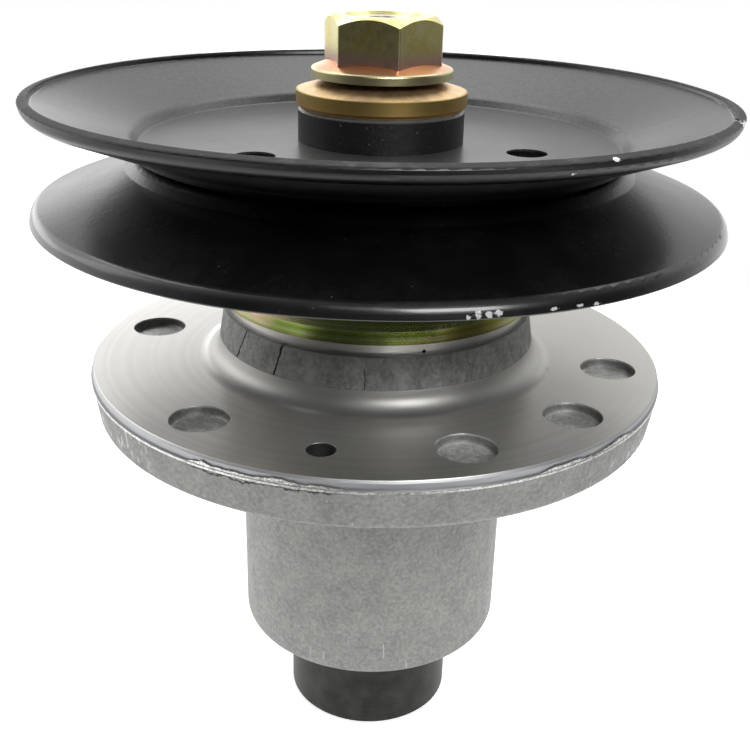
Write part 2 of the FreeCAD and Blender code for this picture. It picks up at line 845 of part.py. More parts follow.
os.makedirs("parts", exist_ok=True)
for piece in pieces:
    piece.Shape.exportStep(f"parts/{piece.Label}.step")
    print(f"{piece.Label}: {len(piece.Shape.Solids)} solid, {piece.Shape.Volume:.0f} mm3")
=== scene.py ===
import json
import math

import bmesh
import bpy
from mathutils import Matrix, Vector, noise


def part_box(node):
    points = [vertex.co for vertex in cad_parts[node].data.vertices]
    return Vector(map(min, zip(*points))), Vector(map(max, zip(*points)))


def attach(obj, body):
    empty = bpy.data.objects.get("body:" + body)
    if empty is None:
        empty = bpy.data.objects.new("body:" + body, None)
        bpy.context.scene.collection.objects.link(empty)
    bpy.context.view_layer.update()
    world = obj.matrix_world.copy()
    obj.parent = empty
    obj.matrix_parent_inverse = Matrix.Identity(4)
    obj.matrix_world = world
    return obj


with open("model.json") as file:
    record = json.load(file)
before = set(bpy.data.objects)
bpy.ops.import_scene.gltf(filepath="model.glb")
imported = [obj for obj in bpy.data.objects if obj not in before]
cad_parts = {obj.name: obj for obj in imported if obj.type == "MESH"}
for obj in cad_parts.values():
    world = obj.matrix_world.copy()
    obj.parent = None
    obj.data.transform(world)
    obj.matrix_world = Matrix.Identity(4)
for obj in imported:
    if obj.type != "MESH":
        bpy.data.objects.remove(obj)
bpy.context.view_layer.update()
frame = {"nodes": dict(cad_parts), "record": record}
nodes = frame["nodes"]


# Housing: one aluminium casting with a flange for the deck. Its upper face, the hollow round the boss
# and the neck are turned bright on a lathe, and the barrel, the rim and the boss keep their cast skin.
class Tone:
    """A value on its way through a material: sums and products of tones become Math nodes."""

    def __init__(self, socket):
        self.socket = socket

    def node(self, kind, settings=None, inputs=None, output=0):
        """Adds any node to the same material, with its settings, then its sockets, and gives one output."""
        tree = self.socket.id_data
        made = tree.nodes.new(kind)
        for name, value in (settings or {}).items():
            setattr(made, name, value)
        for name, value in (inputs or {}).items():
            if isinstance(value, Tone):
                tree.links.new(value.socket, made.inputs[name])
            else:
                made.inputs[name].default_value = value
        return Tone(made.outputs[output])

    def beside(self, output):
        """Another output of the node that this tone comes from."""
        return Tone(self.socket.node.outputs[output])

    def math(self, operation, *values):
        return self.node("ShaderNodeMath", {"operation": operation}, dict(enumerate(values)))

    def at_most(self, limit):
        return self.math("MINIMUM", self, limit)

    def __add__(self, other):
        return self.math("ADD", self, other)

    def __sub__(self, other):
        return self.math("SUBTRACT", self, other)

    def __mul__(self, other):
        return self.math("MULTIPLY", self, other)

    def __rsub__(self, other):
        return self.math("SUBTRACT", other, self)

    def __abs__(self):
        return self.math("ABSOLUTE", self)

    __radd__ = __add__
    __rmul__ = __mul__

    def feed(self, shader, socket):
        self.socket.id_data.links.new(self.socket, shader.inputs[socket])


def finish(name, constants):
    """A material with the sockets that stay the same all over, its shader and the place on the surface."""
    material = bpy.data.materials.new(name)
    material.use_nodes = True
    shader = material.node_tree.nodes["Principled BSDF"]
    for socket, value in constants.items():
        shader.inputs[socket].default_value = value
    place = material.node_tree.nodes.new("ShaderNodeTexCoord").outputs["Object"]
    return material, shader, Tone(place)


def about_axis(place):
    """Distance from the spindle's axis, angle round it and height of a place."""
    x = place.node("ShaderNodeSeparateXYZ", {}, {0: place})
    y, height = x.beside("Y"), x.beside("Z")
    radius = x.math("SQRT", x * x + y * y)
    return radius, x.math("ARCTAN2", y, x), height


def grain(place, size, detail=3.0, roughness=0.5):
    """Soft irregular variation with patches of about the given size in metres."""
    inputs = {"Vector": place, "Scale": 1 / size, "Detail": detail, "Roughness": roughness}
    return place.node("ShaderNodeTexNoise", {}, inputs)


def drawn_out(place, stretch):
    """The place with its heights scaled: a grain on it runs up and down, or round where that is over 1."""
    return place.node("ShaderNodeMapping", {}, {"Vector": place, "Scale": (1.0, 1.0, stretch)})


def lines(along, spacing, detail=2.0):
    """Irregular fine lines across one direction, such as a lathe tool leaves."""
    inputs = {"W": along * (1 / spacing), "Scale": 1.0, "Detail": detail}
    return along.node("ShaderNodeTexNoise", {"noise_dimensions": "1D"}, inputs)


def fade(tone, start, end):
    """Rises smoothly from 0 at the start to 1 at the end."""
    inputs = {"Value": tone, "From Min": start, "From Max": end}
    return tone.node("ShaderNodeMapRange", {"interpolation_type": "SMOOTHSTEP"}, inputs)


def between(tone, low, high, soft):
    """1 between two values and 0 outside them."""
    return fade(tone, low - soft, low + soft) * fade(tone, high + soft, high - soft)


def in_runs(angle, runs):
    """1 in runs round the axis, each with its first and last angle and its soft ends, in degrees."""
    share = angle * 0.0
    for run in runs:
        share = share + between(angle, *(math.radians(degrees) for degrees in run))
    return share


def blend(share, first, second):
    """The first colour where the share is 0, the second where it is 1."""
    colours = {6 + number: colour if isinstance(colour, Tone) else (*colour, 1.0)
               for number, colour in enumerate((first, second))}
    return share.node("ShaderNodeMix", {"data_type": "RGBA"}, {0: share, **colours}, 2)


def relief(height, depth, below=None):
    """A bump of the given depth in metres, on top of another one where that is given."""
    inputs = {"Height": height, "Distance": depth}
    if below:
        inputs["Normal"] = below
    return height.node("ShaderNodeBump", {}, inputs)


def dress(material, *names):
    """Gives CAD nodes their material."""
    for name in names:
        nodes[name].data.materials.clear()
        nodes[name].data.materials.append(material)


FLANGE_THICK = 0.0114
TURNED_BAND = 0.0020
BAND_SKIN = (0.0018, 0.0012)
RIM_SKIN = (0.0015, 0.0010)
RECESS_DEPTH = 0.0026
RECESS_REACH = 0.0035
RECESS_CORNER = 0.0006
RECESS_LIP = 0.0004
WALL_EDGE = 0.0002
BOSS_HOLLOW = 0.0052
HOLLOW_START = 0.0008
BOSS_BAND = 0.0072
BOSS_RADIUS = 0.0378
DRAIN_RADIUS = 0.00335
DRAIN_TURN = math.radians(-100.6)
EDGE = 0.00012
mounts = {mount["name"]: mount for mount in frame["record"]["mounts"]}
flange_top = mounts["flange_seat"]["pos_m"][2] + FLANGE_THICK
ledge = flange_top - TURNED_BAND
recess_floor = flange_top - RECESS_DEPTH
boss_foot = flange_top + BOSS_HOLLOW
boss_top = boss_foot + BOSS_BAND
rim_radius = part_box("spindle_housing")[1].x
recess_side = rim_radius - RECESS_REACH
circle = mounts["flange_screw_holes"]["dims"]["pcd_mm"] / 2000
drain_place = (circle * math.cos(DRAIN_TURN), circle * math.sin(DRAIN_TURN), 0.0)

CAST_DARK = (0.25, 0.255, 0.245)
CAST_LIGHT = (0.42, 0.42, 0.40)
TURNED_DARK = (0.69, 0.68, 0.65)
TURNED_LIGHT = (0.77, 0.755, 0.72)
HOLLOW_GREY = (0.54, 0.535, 0.51)
TURNED_SHADE = (0.50, 0.49, 0.45)
BAND_GREY = (0.50, 0.51, 0.52)
BOSS_DARK = (0.23, 0.24, 0.235)
BOSS_LIGHT = (0.50, 0.505, 0.49)
RECESS_DARK = (0.54, 0.55, 0.54)
RECESS_PAINTED_LIGHT = (0.90, 0.90, 0.88)
SEAM = (0.008, 0.008, 0.009)
SHADE_AND_CRACK_DARK = (0.07, 0.07, 0.065)
SCRATCH = (0.78, 0.78, 0.76)
SKIN_PATCH = 0.0060
PORE = 0.0009
STREAK = 0.0011
CLOUD = 0.012
TOOL_RING = 0.0018
CAST_ROUGH = 0.58
CAST_TEXTURE = 0.00016
SEAM_DEPTH = 0.00010
# Run of angles where the turned face is darkened as painted shade
SHADE_RUNS = ((-30, 75, 25.78),)

casting, shader, place = finish("cast_aluminium", {"Metallic": 0.85})
radius, angle, height = about_axis(place)
skin = grain(place, SKIN_PATCH, 6.0, 0.65)
pores = grain(place, PORE, 3.0, 0.6)
streaks = grain(drawn_out(place, 0.30), STREAK, 3.0, 0.6)
cloud = grain(place, CLOUD, 2.0)
rings = lines(radius, TOOL_RING, 1.0)
boss = between(height, boss_foot, boss_top, EDGE)
neck = fade(height, boss_top - EDGE, boss_top + EDGE)
face = between(height, flange_top - EDGE, boss_foot, EDGE)
hollow = face * fade(height, flange_top + EDGE, flange_top + HOLLOW_START)
at_band = fade(radius, *(rim_radius - in_by for in_by in BAND_SKIN))
at_rim = fade(radius, *(rim_radius - in_by for in_by in RIM_SKIN))
band = fade(height, ledge - EDGE, ledge) * at_band * (1 - face)
ledge_shade = between(height, ledge, ledge, 2 * EDGE) * at_band
turned = (face + band + neck).at_most(1.0)
recess = between(height, recess_floor, flange_top - 2 * EDGE, EDGE)
recess = recess * fade(radius, recess_side + EDGE, recess_side)
recess_wall_shade = recess * between(height, recess_floor + RECESS_CORNER, flange_top - RECESS_LIP, WALL_EDGE)
aside = place.node("ShaderNodeVectorMath", {"operation": "SUBTRACT"}, {0: place, 1: drain_place})
drain_shade = fade(about_axis(aside)[0], DRAIN_RADIUS + EDGE, DRAIN_RADIUS) * (1 - face)

# Cold seams in the boss: the angle where each one starts at the top, how far it leans,
# how much of the band it crosses, and its width
SEAMS = ((-141.8, -4.1, 1.0, 0.00030), (-123.2, -2.7, 1.0, 0.00034), (-93.4, 0.1, 0.6, 0.00014))
SEAM_BEND = 0.0022
SEAM_SWAY = 0.0011
sway = (grain(place, SEAM_BEND, 2.0) - 0.5) * SEAM_SWAY
depth_down = (boss_top - height) * (1 / BOSS_BAND)
seam = boss * 0.0
for start, lean, reach, width in SEAMS:
    offset = (angle - math.radians(start) - depth_down * math.radians(lean)) * BOSS_RADIUS + sway
    seam = seam + fade(abs(offset), width, width * 0.45) * fade(depth_down, 0.9 - reach, 1.0 - reach)
seam = seam * boss

# Blow hole at the foot of the neck
PIT_TURN = math.radians(-73.1)
PIT_RISE = 0.0007
PIT_RADIUS = 0.0005
along = (angle - PIT_TURN) * BOSS_RADIUS
across = height - (boss_top + PIT_RISE)
pit = fade(along * along + across * across, PIT_RADIUS ** 2, PIT_RADIUS ** 2 / 3)
seam = (seam + pit).at_most(1.0)

# Scores drawn up and down the cast skin, in fields of their own
SCORE = 0.0006
SCORE_FIELD = 0.02
scores = fade(grain(drawn_out(place, 0.09), SCORE, 1.0), 0.70, 0.78)
scores = scores * (1 - turned) * (1 - boss) * fade(grain(place, SCORE_FIELD, 1.0), 0.46, 0.62)

# Scrapes on the rim, where the casting was knocked
SCRAPE = 0.0014
SCRAPE_RUNS = ((-160, -134, 3.44), (-41, -27, 3.44))
scraped = fade(grain(drawn_out(place, 0.22), SCRAPE, 4.0, 0.7), 0.55, 0.62)
scraped = scraped * in_runs(angle, SCRAPE_RUNS) * at_rim * (1 - turned)

# Crack where the tool tore the cast skin, below the turned band on one side of the rim
CRACK_RUNS = ((-122, -96, 2.29),)
CRACK_DROP = 0.0030
CRACK_TOP = 0.0018
CRACK_BEND = 0.0040
CRACK_SWAY = 0.0050
CRACK_EDGE = (0.00030, 0.00012)
crack_line = height - (flange_top - CRACK_DROP) - (grain(place, CRACK_BEND, 5.0, 0.75) - 0.5) * CRACK_SWAY
crack = fade(abs(crack_line), *CRACK_EDGE) * in_runs(angle, CRACK_RUNS)
crack = crack * at_rim * fade(height, flange_top, flange_top - CRACK_TOP)

cast_colour = blend(fade(skin * 0.42 + pores * 0.58, 0.28, 0.70), CAST_DARK, CAST_LIGHT)
# The recess floors are painted much lighter than the cast skin round them: partly their own paler face,
# partly painted light for the light they catch.
recess_lit_colour = blend(fade(skin * 0.6 + pores * 0.4, 0.38, 0.62), RECESS_DARK, RECESS_PAINTED_LIGHT)
turned_colour = blend(fade(rings * 0.5 + cloud * 0.5, 0.3, 0.7), TURNED_DARK, TURNED_LIGHT)
# Painted shade: the turned face is darker on its right side, over a run of angles round the axis.
turned_colour = blend(face * in_runs(angle + cloud * 0.3, SHADE_RUNS) * 0.85, turned_colour, TURNED_SHADE)
turned_colour = blend(hollow, turned_colour, HOLLOW_GREY)
boss_colour = blend(fade(skin * 0.45 + streaks * 0.25 + pores * 0.30, 0.34, 0.66), BOSS_DARK, BOSS_LIGHT)
colour = blend(turned, cast_colour, turned_colour)
colour = blend(band, colour, BAND_GREY)
colour = blend(recess, colour, recess_lit_colour)
# Painted shade on the recess walls and in a line along the ledge under the burr; the crack takes the same
# dark colour as its own.
colour = blend((recess_wall_shade * 0.68 + ledge_shade * 0.7 + crack).at_most(1.0), colour, SHADE_AND_CRACK_DARK)
colour = blend(boss, colour, boss_colour)
colour = blend((scores * 0.5 + scraped * 0.7).at_most(1.0), colour, SCRATCH)
# Painted shade inside the drain hole.
colour = blend(drain_shade, colour, SHADE_AND_CRACK_DARK)
blend(seam, colour, SEAM).feed(shader, "Base Color")
rough = CAST_ROUGH + cloud * 0.10 - turned * 0.33 + turned * rings * 0.03
(rough + hollow * 0.12 + band * 0.12 + neck * 0.06).feed(shader, "Roughness")
cast_relief = relief((pores * 0.7 + skin * 0.5) * (1 - turned), CAST_TEXTURE)
relief((seam + crack) * -2.0, SEAM_DEPTH, cast_relief).feed(shader, "Normal")
dress(casting, "spindle_housing")


# Burr: where the lathe tool left the cast rim it tore the skin up into a thin ragged fin,
# bright at its crest, which runs round the lower edge of the turned band.
BURR_WALL = 0.00030
BURR_ROOT = 0.0007
BURR_LOW = 0.00005
BURR_TORN = 0.0010
BURR_SUNK = 0.00015
BURR_STEPS = 720
BURR_RUNS = ((-124, -94), (-62, -34), (20, 48), (118, 150))
BURR_RUN_END = 4.0
BURR_WAVES = 260
BURR_TEETH = 900
BURR_BRIGHT = (0.86, 0.85, 0.83)
BURR_GRAIN = 0.0005


def sweep_round(outline, steps, angle=2 * math.pi, rise=0.0):
    """Sweeps an outline of (distance from the axis, height) round the axis, closed on itself or climbing."""
    shape = bmesh.new()
    corners = [shape.verts.new((distance, 0.0, level)) for distance, level in outline]
    profile = shape.faces.new(corners)
    geometry = [profile, *profile.edges, *corners]
    if not rise:
        geometry = list(profile.edges)
        bmesh.ops.delete(shape, geom=[profile], context="FACES_ONLY")
    bmesh.ops.spin(
        shape, geom=geometry, cent=(0, 0, 0), axis=(0, 0, 1), dvec=(0, 0, rise / steps),
        angle=angle, steps=steps, use_merge=not rise,
    )
    bmesh.ops.remove_doubles(shape, verts=shape.verts, dist=1e-7)
    bmesh.ops.recalc_face_normals(shape, faces=shape.faces)
    return shape


def piece_from(shape, name, material, body):
    """Makes a piece of a shape with the given material, riding on a body."""
    mesh = bpy.data.meshes.new(name)
    shape.to_mesh(mesh)
    shape.free()
    mesh.materials.append(material)
    piece = bpy.data.objects.new(name, mesh)
    bpy.context.collection.objects.link(piece)
    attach(piece, body)


burr_outline = (
    (rim_radius - BURR_WALL, ledge - BURR_ROOT),
    (rim_radius - BURR_LOW, ledge - BURR_ROOT),
    (rim_radius - BURR_LOW, ledge),
    (rim_radius - BURR_WALL * 0.6, ledge),
)
shape = sweep_round(burr_outline, BURR_STEPS)
for vert in shape.verts:
    if vert.co.z < ledge - BURR_ROOT / 2:
        continue
    turn = math.degrees(math.atan2(vert.co.y, vert.co.x))
    inside = max(min(turn - first, last - turn, BURR_RUN_END) / BURR_RUN_END for first, last in BURR_RUNS)
    inside = max(inside, 0.0)
    way = Vector((vert.co.x, vert.co.y, 0.0))
    ragged = 0.55 + noise.noise(way * BURR_WAVES) + 0.6 * noise.noise(way * BURR_TEETH)
    vert.co.z += BURR_TORN * inside * max(ragged, 0.0) - BURR_SUNK * (1 - inside)
burr_metal, shader, place = finish("torn_aluminium", {"Metallic": 1.0})
torn = grain(place, BURR_GRAIN, 3.0)
blend(fade(torn, 0.3, 0.6), CAST_LIGHT, BURR_BRIGHT).feed(shader, "Base Color")
(0.22 + torn * 0.2).feed(shader, "Roughness")
relief(torn, 0.00008).feed(shader, "Normal")
piece_from(shape, "rim_burr", burr_metal, "housing")


# Bearings: ground steel cups pressed into the housing, cones on the shaft, and tapered rollers between
# them in pressed cages. Only their faces show, and only when the spindle is taken apart.
BEARING_STEEL = (0.52, 0.52, 0.54)
BEARING_DARK = (0.36, 0.36, 0.37)
GRINDING = 0.00012
bearing_steel, shader, place = finish("bearing_steel", {"Metallic": 1.0})
radius, _, height = about_axis(place)
ground = lines(height + radius, GRINDING)
blend(fade(ground, 0.3, 0.7), BEARING_DARK, BEARING_STEEL).feed(shader, "Base Color")
(0.20 + ground * 0.15).feed(shader, "Roughness")
for side in ("upper", "lower"):
    dress(bearing_steel, *(f"{side}_bearing_{piece}" for piece in ("cup", "cone", "rollers", "cage")))


# Spacer, collar and key: plain mild steel, turned or drawn, that keep the races apart and carry the drive.
# They are oiled and slid on the shaft before the pulley goes on.
MILD_STEEL = (0.42, 0.42, 0.41)
OILED_STEEL = (0.24, 0.235, 0.22)
OIL_PATCH = 0.004
DRAWN_LINE = 0.0002
mild_steel, shader, place = finish("plain_steel", {"Metallic": 1.0})
drawn = lines(about_axis(place)[2], DRAWN_LINE)
dry = fade(grain(place, OIL_PATCH) * 0.5 + drawn * 0.5, 0.35, 0.65)
blend(dry, OILED_STEEL, MILD_STEEL).feed(shader, "Base Color")
(0.30 + drawn * 0.2).feed(shader, "Roughness")
dress(mild_steel, "bearing_spacer", "seal_collar", "pulley_key")


# Grease seals: black rubber moulded on a folded case, pressed into both ends of the housing
# with the closed side out, so that only the rubber face shows round the shaft.
SEAL_BLACK = (0.012, 0.012, 0.013)
SEAL_GREY = (0.045, 0.045, 0.046)
BLOOM = 0.0018
seal_rubber, shader, place = finish("seal_rubber", {"IOR": 1.52})
bloom = grain(place, BLOOM, 4.0)
blend(fade(bloom, 0.4, 0.75), SEAL_BLACK, SEAL_GREY).feed(shader, "Base Color")
(0.55 + bloom * 0.2).feed(shader, "Roughness")
relief(bloom, 0.00005).feed(shader, "Normal")
dress(seal_rubber, "upper_grease_seal", "lower_grease_seal")


# Shaft: turned from one bar of steel and blackened, with a wide head that the blade seats against.
# Its lower end is drilled and tapped for the blade bolt, and its upper end is threaded for the nut.
OXIDE_BLACK = (0.028, 0.028, 0.026)
OXIDE_WORN = (0.058, 0.058, 0.055)
BARE_END = (0.60, 0.57, 0.48)
END_REACH = (0.003, 0.002)
TURNING_LINE = 0.00028
STAIN = 0.005
shaft_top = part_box("spindle_shaft")[1].z
black_oxide, shader, place = finish("black_steel", {"Metallic": 0.9})
radius, _, height = about_axis(place)
turning = lines(height + radius * 0.6, TURNING_LINE)
stain = grain(place, STAIN, 4.0)
worn = fade(stain * 0.6 + turning * 0.4, 0.35, 0.7)
end = fade(height, *(shaft_top - reach for reach in END_REACH))
blend(end, blend(worn, OXIDE_BLACK, OXIDE_WORN), BARE_END).feed(shader, "Base Color")
(0.36 + turning * 0.12 + stain * 0.1 - end * 0.1).feed(shader, "Roughness")
relief(turning, 0.000012).feed(shader, "Normal")
dress(black_oxide, "spindle_shaft")

THREAD_PITCH = 25.4e-3 / 18
THREAD_HEIGHT = 0.00035
THREAD_ROOT = 0.00005
THREAD_TURNS = 22
THREAD_STEPS = 40
bolt_hole = mounts["blade_bolt_hole"]["dims"]["r_mm"] / 1000
thread_outline = (
    (bolt_hole + THREAD_ROOT, THREAD_PITCH * 1.10),
    (bolt_hole + THREAD_ROOT, THREAD_PITCH * 1.90),
    (bolt_hole - THREAD_HEIGHT, THREAD_PITCH * 1.60),
    (bolt_hole - THREAD_HEIGHT, THREAD_PITCH * 1.40),
)
shape = sweep_round(
    thread_outline, THREAD_TURNS * THREAD_STEPS, 2 * math.pi * THREAD_TURNS, THREAD_PITCH * THREAD_TURNS,
)
piece_from(shape, "blade_bolt_thread", black_oxide, "spindle")


# Dust shield: a cup pressed from thin steel and plated with yellow zinc, clamped under the hub,
# so that its skirt turns round the housing's neck and throws off dirt.
GREEN_GOLD = (0.44, 0.62, 0.11)
PALE_GREEN = (0.80, 0.82, 0.50)
ROSE = (0.82, 0.54, 0.44)
OLIVE = (0.33, 0.28, 0.10)
DARK_GREEN = (0.10, 0.16, 0.02)
BROWN_GOLD = (0.40, 0.22, 0.05)
ROSY_RUNS = ((-175, -120, 14.32), (51.57, 103.13, 22.92))
BROWN_RUNS = ((-74, -34, 14.32), (120.32, 160.43, 17.19))
PLATING_DRIFT = 0.016
DRAW_MARK = 0.0009
DRAW_SWAY = 0.0012
SKIRT_EDGE = (0.0006, 0.0002)
shield_low, shield_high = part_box("dust_shield")
zinc_shield, shader, place = finish("shield_zinc", {"Metallic": 1.0})
_, angle, height = about_axis(place)
rise = fade(height, shield_low.z, shield_high.z)
drift = grain(drawn_out(place, 3.0), PLATING_DRIFT, 3.0)
draw_marks = lines(height + drift * DRAW_SWAY, DRAW_MARK)
uneven = rise + (drift - 0.5) * 0.8
rosy = in_runs(angle, ROSY_RUNS) * fade(uneven, 0.0, 0.20)
brown = in_runs(angle, BROWN_RUNS) * fade(uneven, 0.34, 0.06)
colour = blend(fade(draw_marks * 0.6 + drift * 0.4, 0.40, 0.64), GREEN_GOLD, PALE_GREEN)
colour = blend(fade(rise + (drift - 0.5) * 0.5, 0.36, 0.02) * 0.45, colour, DARK_GREEN)
colour = blend(rosy, colour, ROSE)
colour = blend(brown * 0.45, colour, BROWN_GOLD)
blend(fade(height, *(shield_low.z + up for up in SKIRT_EDGE)), colour, OLIVE).feed(shader, "Base Color")
(0.20 + grain(place, 0.003) * 0.10).feed(shader, "Roughness")
relief(draw_marks, 0.000012).feed(shader, "Normal")
dress(zinc_shield, "dust_shield")


# Pulley hub: a turned steel boss that both pressings are fixed to, blasted and painted black with them.
# The paint takes the grain of the metal, and its upper edge is lightened as a painted highlight.
PAINT_BLACK = (0.0035, 0.0035, 0.0038)
PAINT_GREY = (0.010, 0.010, 0.0105)
DUST_AND_HIGHLIGHT = (0.30, 0.30, 0.29)
HUB_EDGE = (0.0007, 0.0003)
BLASTING = 0.0006
SPECK = 0.0009
hub_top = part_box("pulley_hub")[1].z
hub_paint, shader, place = finish("hub_paint", {"IOR": 1.5})
blasted = grain(place, BLASTING, 3.0, 0.7)
specks = fade(grain(place, SPECK, 1.0), 0.73, 0.77)
top_edge_highlight = fade(about_axis(place)[2], *(hub_top - depth for depth in HUB_EDGE))
colour = blend(fade(blasted, 0.35, 0.75), PAINT_BLACK, PAINT_GREY)
# Dust specks, and a painted highlight along the upper edge
blend((specks * 0.3 + top_edge_highlight * 0.3).at_most(1.0), colour, DUST_AND_HIGHLIGHT).feed(shader, "Base Color")
(0.36 + blasted * 0.15 - top_edge_highlight * 0.2).feed(shader, "Roughness")
relief(blasted, 0.00012).feed(shader, "Normal")
dress(hub_paint, "pulley_hub")


# Sheaves: two equal pressings from steel sheet, back to back on the hub, that leave the belt groove
# between them. They are sprayed semi-gloss black, thicker on the lower bend, and the paint is chipped
# to the steel along the rims. The chips are painted near white, as painted glints of the bare steel.
BARE_STEEL_GLINT = (0.82, 0.81, 0.80)
RIM_EDGE = 0.0007
LIP_REACH = (0.0035, 0.0025)
BEND_REACH = (0.0022, 0.0012)
WEB_RISE = (0.0016, 0.0022)
RUN_DEPTH = 0.002
PEEL = 0.0016
HAZE = 0.014
RUB = 0.0008
SCUFF = 0.0050
FINE_DUST = 0.0008
CHIP_GRAIN = 0.0010
sheave_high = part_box("upper_sheave")[1]
sheave_radius = sheave_high.x
groove_middle = mounts["belt_groove"]["pos_m"][2]
rim_height = sheave_high.z - groove_middle
paint, shader, place = finish("black_paint", {"IOR": 1.5, "Coat Roughness": 0.16})
radius, angle, height = about_axis(place)
peel = grain(place, PEEL, 2.0)
haze = grain(place, HAZE, 5.0, 0.6)
rub = fade(grain(place, RUB, 2.0), 0.70, 0.76) * fade(haze, 0.45, 0.65)
at_lip = fade(radius, *(sheave_radius - in_by for in_by in LIP_REACH))
bend = fade(radius, *(sheave_radius - in_by for in_by in BEND_REACH))

# Chips along the rims: angle round the pulley, height, and how far each one reaches along and across
CHIPS = (
    (-77.5, 0.1385, 0.0009, 0.0007),
    (-76.0, 0.1385, 0.0008, 0.0006),
    (-74.7, 0.1386, 0.0009, 0.0006),
    (-78.6, 0.1381, 0.0005, 0.0004),
    (-67.0, 0.1384, 0.0008, 0.0003),
    (-63.3, 0.1384, 0.0007, 0.0003),
    (-60.6, 0.1382, 0.0009, 0.0003),
    (-66.0, 0.1617, 0.0008, 0.0003),
    (-59.8, 0.1636, 0.0008, 0.0003),
    (-22.3, 0.1632, 0.0030, 0.0007),
)
ragged = (grain(place, CHIP_GRAIN, 5.0, 0.75) - 0.5) * 7.0
chips = haze * 0.0
for turn, level, reach, width in CHIPS:
    along = (angle - math.radians(turn)) * (sheave_radius / reach)
    across = (height - level) * (1 / width)
    chips = chips + fade(along * along + across * across + ragged, 1.0, 0.7)
chips = at_lip * chips.at_most(1.0)

edge = fade(abs(height - groove_middle), rim_height - RIM_EDGE, rim_height - RIM_EDGE / 2) * at_lip
scuffed = edge * fade(grain(place, SCUFF, 6.0, 0.7), 0.50, 0.68)
dished = fade(height, *(groove_middle + up for up in WEB_RISE))
settled = dished * (1 - at_lip) * (0.35 + fade(grain(place, FINE_DUST, 3.0, 0.7), 0.36, 0.70) * 0.65)
colour = blend(fade(haze, 0.35, 0.75), PAINT_BLACK, PAINT_GREY)
colour = blend((rub * 0.35 + scuffed * 0.14 + settled * 0.22).at_most(1.0), colour, DUST_AND_HIGHLIGHT)
# Chips: bare steel, painted near white as painted glints
blend(chips, colour, BARE_STEEL_GLINT).feed(shader, "Base Color")
(chips * 0.2).feed(shader, "Metallic")
(0.22 + haze * 0.10 + settled * 0.08 + rub * 0.1 + bend * 0.06 + edge * 0.34).feed(shader, "Roughness")
lower_half = fade(height, groove_middle, groove_middle - RUN_DEPTH)
(bend * (1 - edge) * lower_half * 0.9).feed(shader, "Coat Weight")
relief(chips * -1.0, 0.00008, relief(peel, 0.00003)).feed(shader, "Normal")
dress(paint, "upper_sheave", "lower_sheave")


# Coned washer: hardened spring steel under the nut, dull yellow over bare steel,
# flattened a little by the nut so that it keeps the pulley tight.
WASHER_TOP = (0.86, 0.64, 0.38)
WASHER_DULL = (0.68, 0.49, 0.28)
WASHER_RIM = (0.38, 0.27, 0.09)
WASHER_FOOT = (0.50, 0.30, 0.10)
WASHER_SIDE = (0.0006, 0.0002)
FOOT_RISE = (0.0022, 0.0008)
FILM = 0.0022
washer_low, washer_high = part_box("spring_washer")
dull_zinc, shader, place = finish("washer_zinc", {"Metallic": 0.95})
radius, _, height = about_axis(place)
film = grain(place, FILM, 4.0, 0.6)
foot = fade(height, *(washer_low.z + up for up in FOOT_RISE))
rim = fade(radius, *(washer_high.x - in_by for in_by in WASHER_SIDE))
colour = blend(fade(film, 0.3, 0.7), WASHER_DULL, WASHER_TOP)
colour = blend(rim, colour, WASHER_RIM)
blend(foot * rim, colour, WASHER_FOOT).feed(shader, "Base Color")
(0.38 + film * 0.15).feed(shader, "Roughness")
relief(film, 0.00003).feed(shader, "Normal")
dress(dull_zinc, "spring_washer")


# Flange nut: cold-formed steel with its own washer face, plated with yellow zinc.
# It draws the pulley, the shield and the bearings' inner races together on the shaft.
NUT_GOLD = (0.76, 0.65, 0.20)
NUT_PALE = (0.86, 0.80, 0.42)
FLANGE_ORANGE = (0.84, 0.45, 0.26)
FLANGE_OLIVE = (0.66, 0.60, 0.34)
UNDER_SHADE = (0.16, 0.12, 0.05)
FLANGE_EDGE = 0.0019
FLANGE_SLOPE = math.radians(21)
FLANGE_INSIDE = (0.0157, 0.0152)
FLANGE_RIM = (0.0150, 0.0154)
ROSY_RISE = (0.0075, 0.0035)
UNDER_RISE = (0.0012, 0.0006)
SIDE_RISE = (0.0024, 0.0018)
CONE_SKIN = (0.0004, 0.0001)
PLATING_PATCH = 0.007
PLATING_GRAIN = 0.0006
nut_low, nut_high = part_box("flange_nut")
zinc_nut, shader, place = finish("yellow_zinc", {"Metallic": 1.0})
radius, _, height = about_axis(place)
drift = grain(place, PLATING_PATCH, 3.0)
fine = grain(place, PLATING_GRAIN, 3.0, 0.7)
mixed = drift * 0.5 + fine * 0.5
foot, under_shade, side = (
    fade(height, *(nut_low.z + up for up in rise)) for rise in (ROSY_RISE, UNDER_RISE, SIDE_RISE)
)
above_cone = height - (nut_low.z + FLANGE_EDGE) - (nut_high.x - radius) * math.tan(FLANGE_SLOPE)
inside = fade(radius, *FLANGE_INSIDE)
under_shade = under_shade * inside
cone = fade(above_cone, *CONE_SKIN) * inside * (1 - under_shade)
skirt = side * fade(radius, *FLANGE_RIM)
colour = blend(fade(mixed, 0.38, 0.62), NUT_GOLD, NUT_PALE)
colour = blend(foot * fade(drift, 0.25, 0.5), colour, ROSE)
colour = blend(cone * fade(mixed, 0.30, 0.52), colour, FLANGE_ORANGE)
colour = blend(skirt, colour, FLANGE_OLIVE)
# Painted shade under the nut's flange, above the washer.
blend(under_shade, colour, UNDER_SHADE).feed(shader, "Base Color")
(0.24 + grain(place, 0.0015) * 0.14 + under_shade * 0.3).feed(shader, "Roughness")
relief(fine, 0.00004).feed(shader, "Normal")
dress(zinc_nut, "flange_nut")


